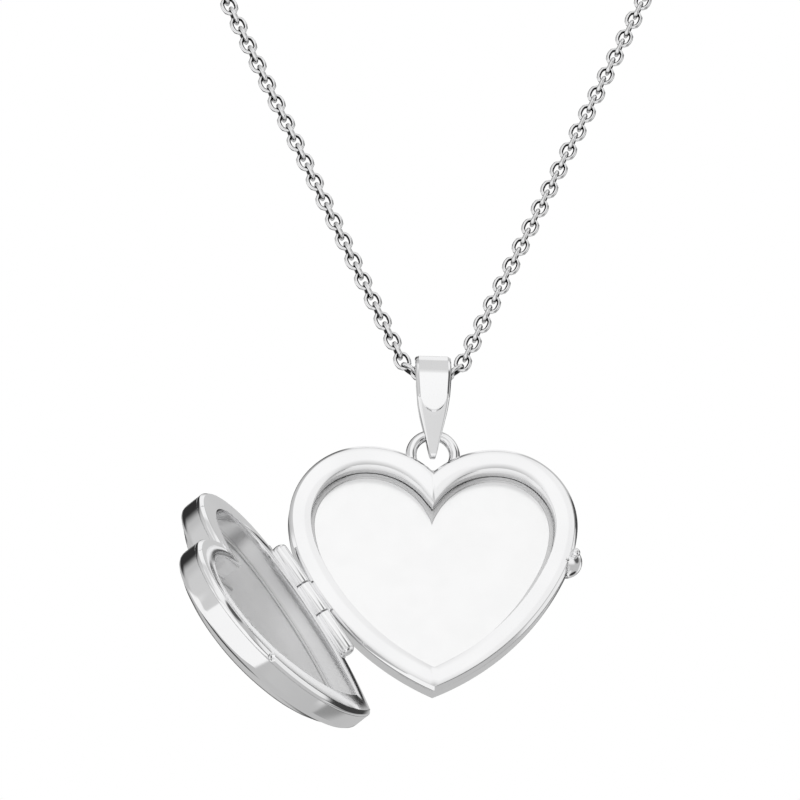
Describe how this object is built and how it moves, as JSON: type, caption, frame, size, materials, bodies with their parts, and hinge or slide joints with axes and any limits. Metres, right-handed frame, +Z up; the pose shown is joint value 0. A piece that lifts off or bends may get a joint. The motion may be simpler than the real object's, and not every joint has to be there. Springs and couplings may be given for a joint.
{
  "type": "open heart locket on a fine trace chain",
  "caption": "Heart-shaped hinged photo locket hanging from a tapered bail on a fine trace chain, opened to show both photo recesses.",
  "frame": {"origin": "middle of the chain where it carries the bail", "axes": "+X to the wearer's left as seen from the front, +Z up the chain, viewer at -Y"},
  "size_m": [0.0398, 0.0218, 0.0702],
  "materials": {
    "polished_silver": "high polish",
    "recess_silver": "satin polish",
    "pin_steel": "drawn wire"
  },
  "bodies": {
    "chain": {"chain_left": "polished_silver", "chain_middle": "polished_silver", "chain_right": "polished_silver", "chain_end_ring_left": "polished_silver", "chain_end_ring_right": "polished_silver", "chain_end_tag_left": "polished_silver", "chain_end_tag_right": "polished_silver"},
    "bail": {"bail": "polished_silver"},
    "case": {"case_shell": "polished_silver", "case_rim": "polished_silver", "case_photo_floor": "recess_silver", "case_photo_frame": "recess_silver", "case_knuckle": "polished_silver", "case_hinge_leaf": "polished_silver", "hinge_pin": "pin_steel", "case_catch_lug": "polished_silver", "case_catch_ball": "polished_silver", "case_loop": "polished_silver"},
    "cover": {"cover_shell": "polished_silver", "cover_rim": "polished_silver", "cover_photo_floor": "recess_silver", "cover_photo_frame": "recess_silver", "cover_knuckle_upper": "polished_silver", "cover_knuckle_lower": "polished_silver", "cover_hinge_leaf": "polished_silver"}
  },
  "joints": [
    {"name": "bail_swing", "type": "hinge", "parent": "chain", "child": "bail", "pos_m": [0, 0, 0], "axis": [1, 0, 0], "range_deg": [-30, 30]},
    {"name": "case_swing", "type": "hinge", "parent": "bail", "child": "case", "pos_m": [0, 0, -0.0052], "axis": [1, 0, 0], "range_deg": [-40, 60]},
    {"name": "cover_hinge", "type": "hinge", "parent": "case", "child": "cover", "pos_m": [-0.00829, -0.001, -0.02117], "axis": [0.5446, 0, -0.8387], "range_deg": [-118.5, 50]}
  ]
}
